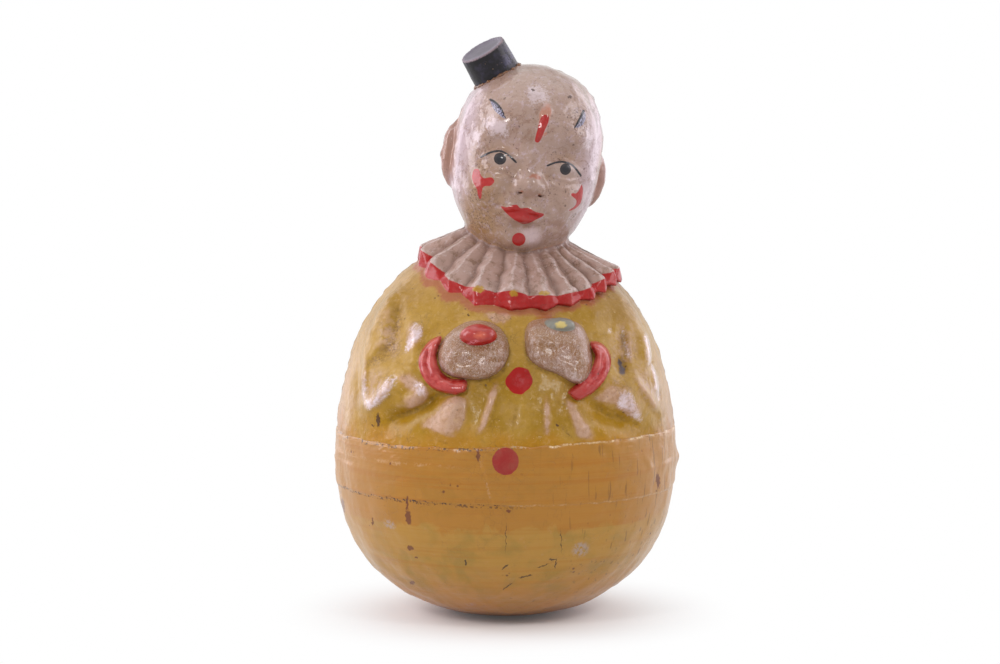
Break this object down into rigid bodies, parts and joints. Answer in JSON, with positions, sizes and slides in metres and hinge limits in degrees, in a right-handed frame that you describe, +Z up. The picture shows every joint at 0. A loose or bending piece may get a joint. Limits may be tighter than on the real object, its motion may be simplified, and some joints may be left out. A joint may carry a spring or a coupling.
{
  "type": "roly-poly toy",
  "caption": "Round-bottomed self-righting clown toy of pressed papier-mache: a pleated ruff, relief arms, a taped belly joint and a small hat, weighted at the foot so that it rocks upright.",
  "frame": {"origin": "centre of the worn flat under the bowl, on the surface that the toy stands on", "axes": "+Z up through the belly's middle; the figure faces -Y; +X towards the right of a viewer who looks at its face"},
  "size_m": [0.1422, 0.1427, 0.24],
  "materials": {
    "painted_front": "oil paint, flesh and mustard yellow, under aged gloss varnish",
    "painted_back": "oil paint, flesh and mustard yellow, under aged gloss varnish",
    "painted_bowl": "mustard paint under aged gloss varnish",
    "painted_tape": "cloth tape, sized and painted mustard",
    "liner_card": "bare grey-brown card",
    "seam_paper": "bare pasted paper",
    "cast_weight": "rough casting skin",
    "bed_plaster": "poured plaster, matt",
    "hat_wood": "turned wood, painted blue-black, worn",
    "peg_wood": "bare dowel",
    "dried_glue": "dried brown hide glue"
  },
  "bodies": {
    "root": {"front_shell": "painted_front", "back_shell": "painted_back", "base_bowl": "painted_bowl", "belt_tape": "painted_tape", "joint_liner": "liner_card", "left_seam_strip": "seam_paper", "right_seam_strip": "seam_paper", "ballast_weight": "cast_weight", "plaster_bed": "bed_plaster", "hat": "hat_wood", "hat_peg": "peg_wood", "hat_glue": "dried_glue"}
  },
  "joints": []
}
